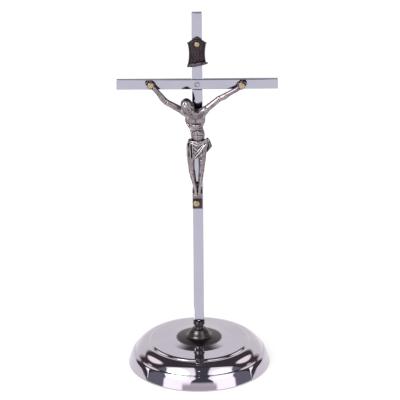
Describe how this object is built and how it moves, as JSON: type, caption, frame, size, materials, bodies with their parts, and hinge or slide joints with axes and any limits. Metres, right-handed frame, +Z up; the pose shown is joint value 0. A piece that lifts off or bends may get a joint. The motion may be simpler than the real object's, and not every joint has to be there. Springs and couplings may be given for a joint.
{
  "type": "standing cross",
  "caption": "Table cross of polished flat bar on a round domed foot with a bell hub, carrying a cast corpus and a small scroll held by round-head pins.",
  "frame": {"origin": "under the middle of the round foot, on the surface that the cross stands on", "axes": "+Z up along the upright, +X along the crossbar to the viewer's right, the corpus faces -Y"},
  "size_m": [0.155, 0.1384, 0.37],
  "materials": {
    "polished_nickel": "mirror-polished nickel plate on drawn bar and spun sheet",
    "antique_silver": "silvered casting, darkened in the hollows and rubbed bright on the high spots",
    "brass": "bright brass round heads",
    "zinc_plated_steel": "zinc-plated steel fixings",
    "ballast_iron": "raw cast iron",
    "felt": "dark green felt over stiff board"
  },
  "bodies": {
    "root": {"base_shell": "polished_nickel", "foot_collar": "polished_nickel", "upright": "polished_nickel", "crossbar": "polished_nickel", "crossing_rivet": "polished_nickel", "clamp_washer": "zinc_plated_steel", "lock_washer": "zinc_plated_steel", "foot_nut": "zinc_plated_steel", "ballast_ring": "ballast_iron", "base_cover": "felt", "corpus": "antique_silver", "titulus_scroll": "antique_silver", "left_hand_pin": "brass", "right_hand_pin": "brass", "feet_pin": "brass", "titulus_pin": "brass"}
  },
  "joints": []
}
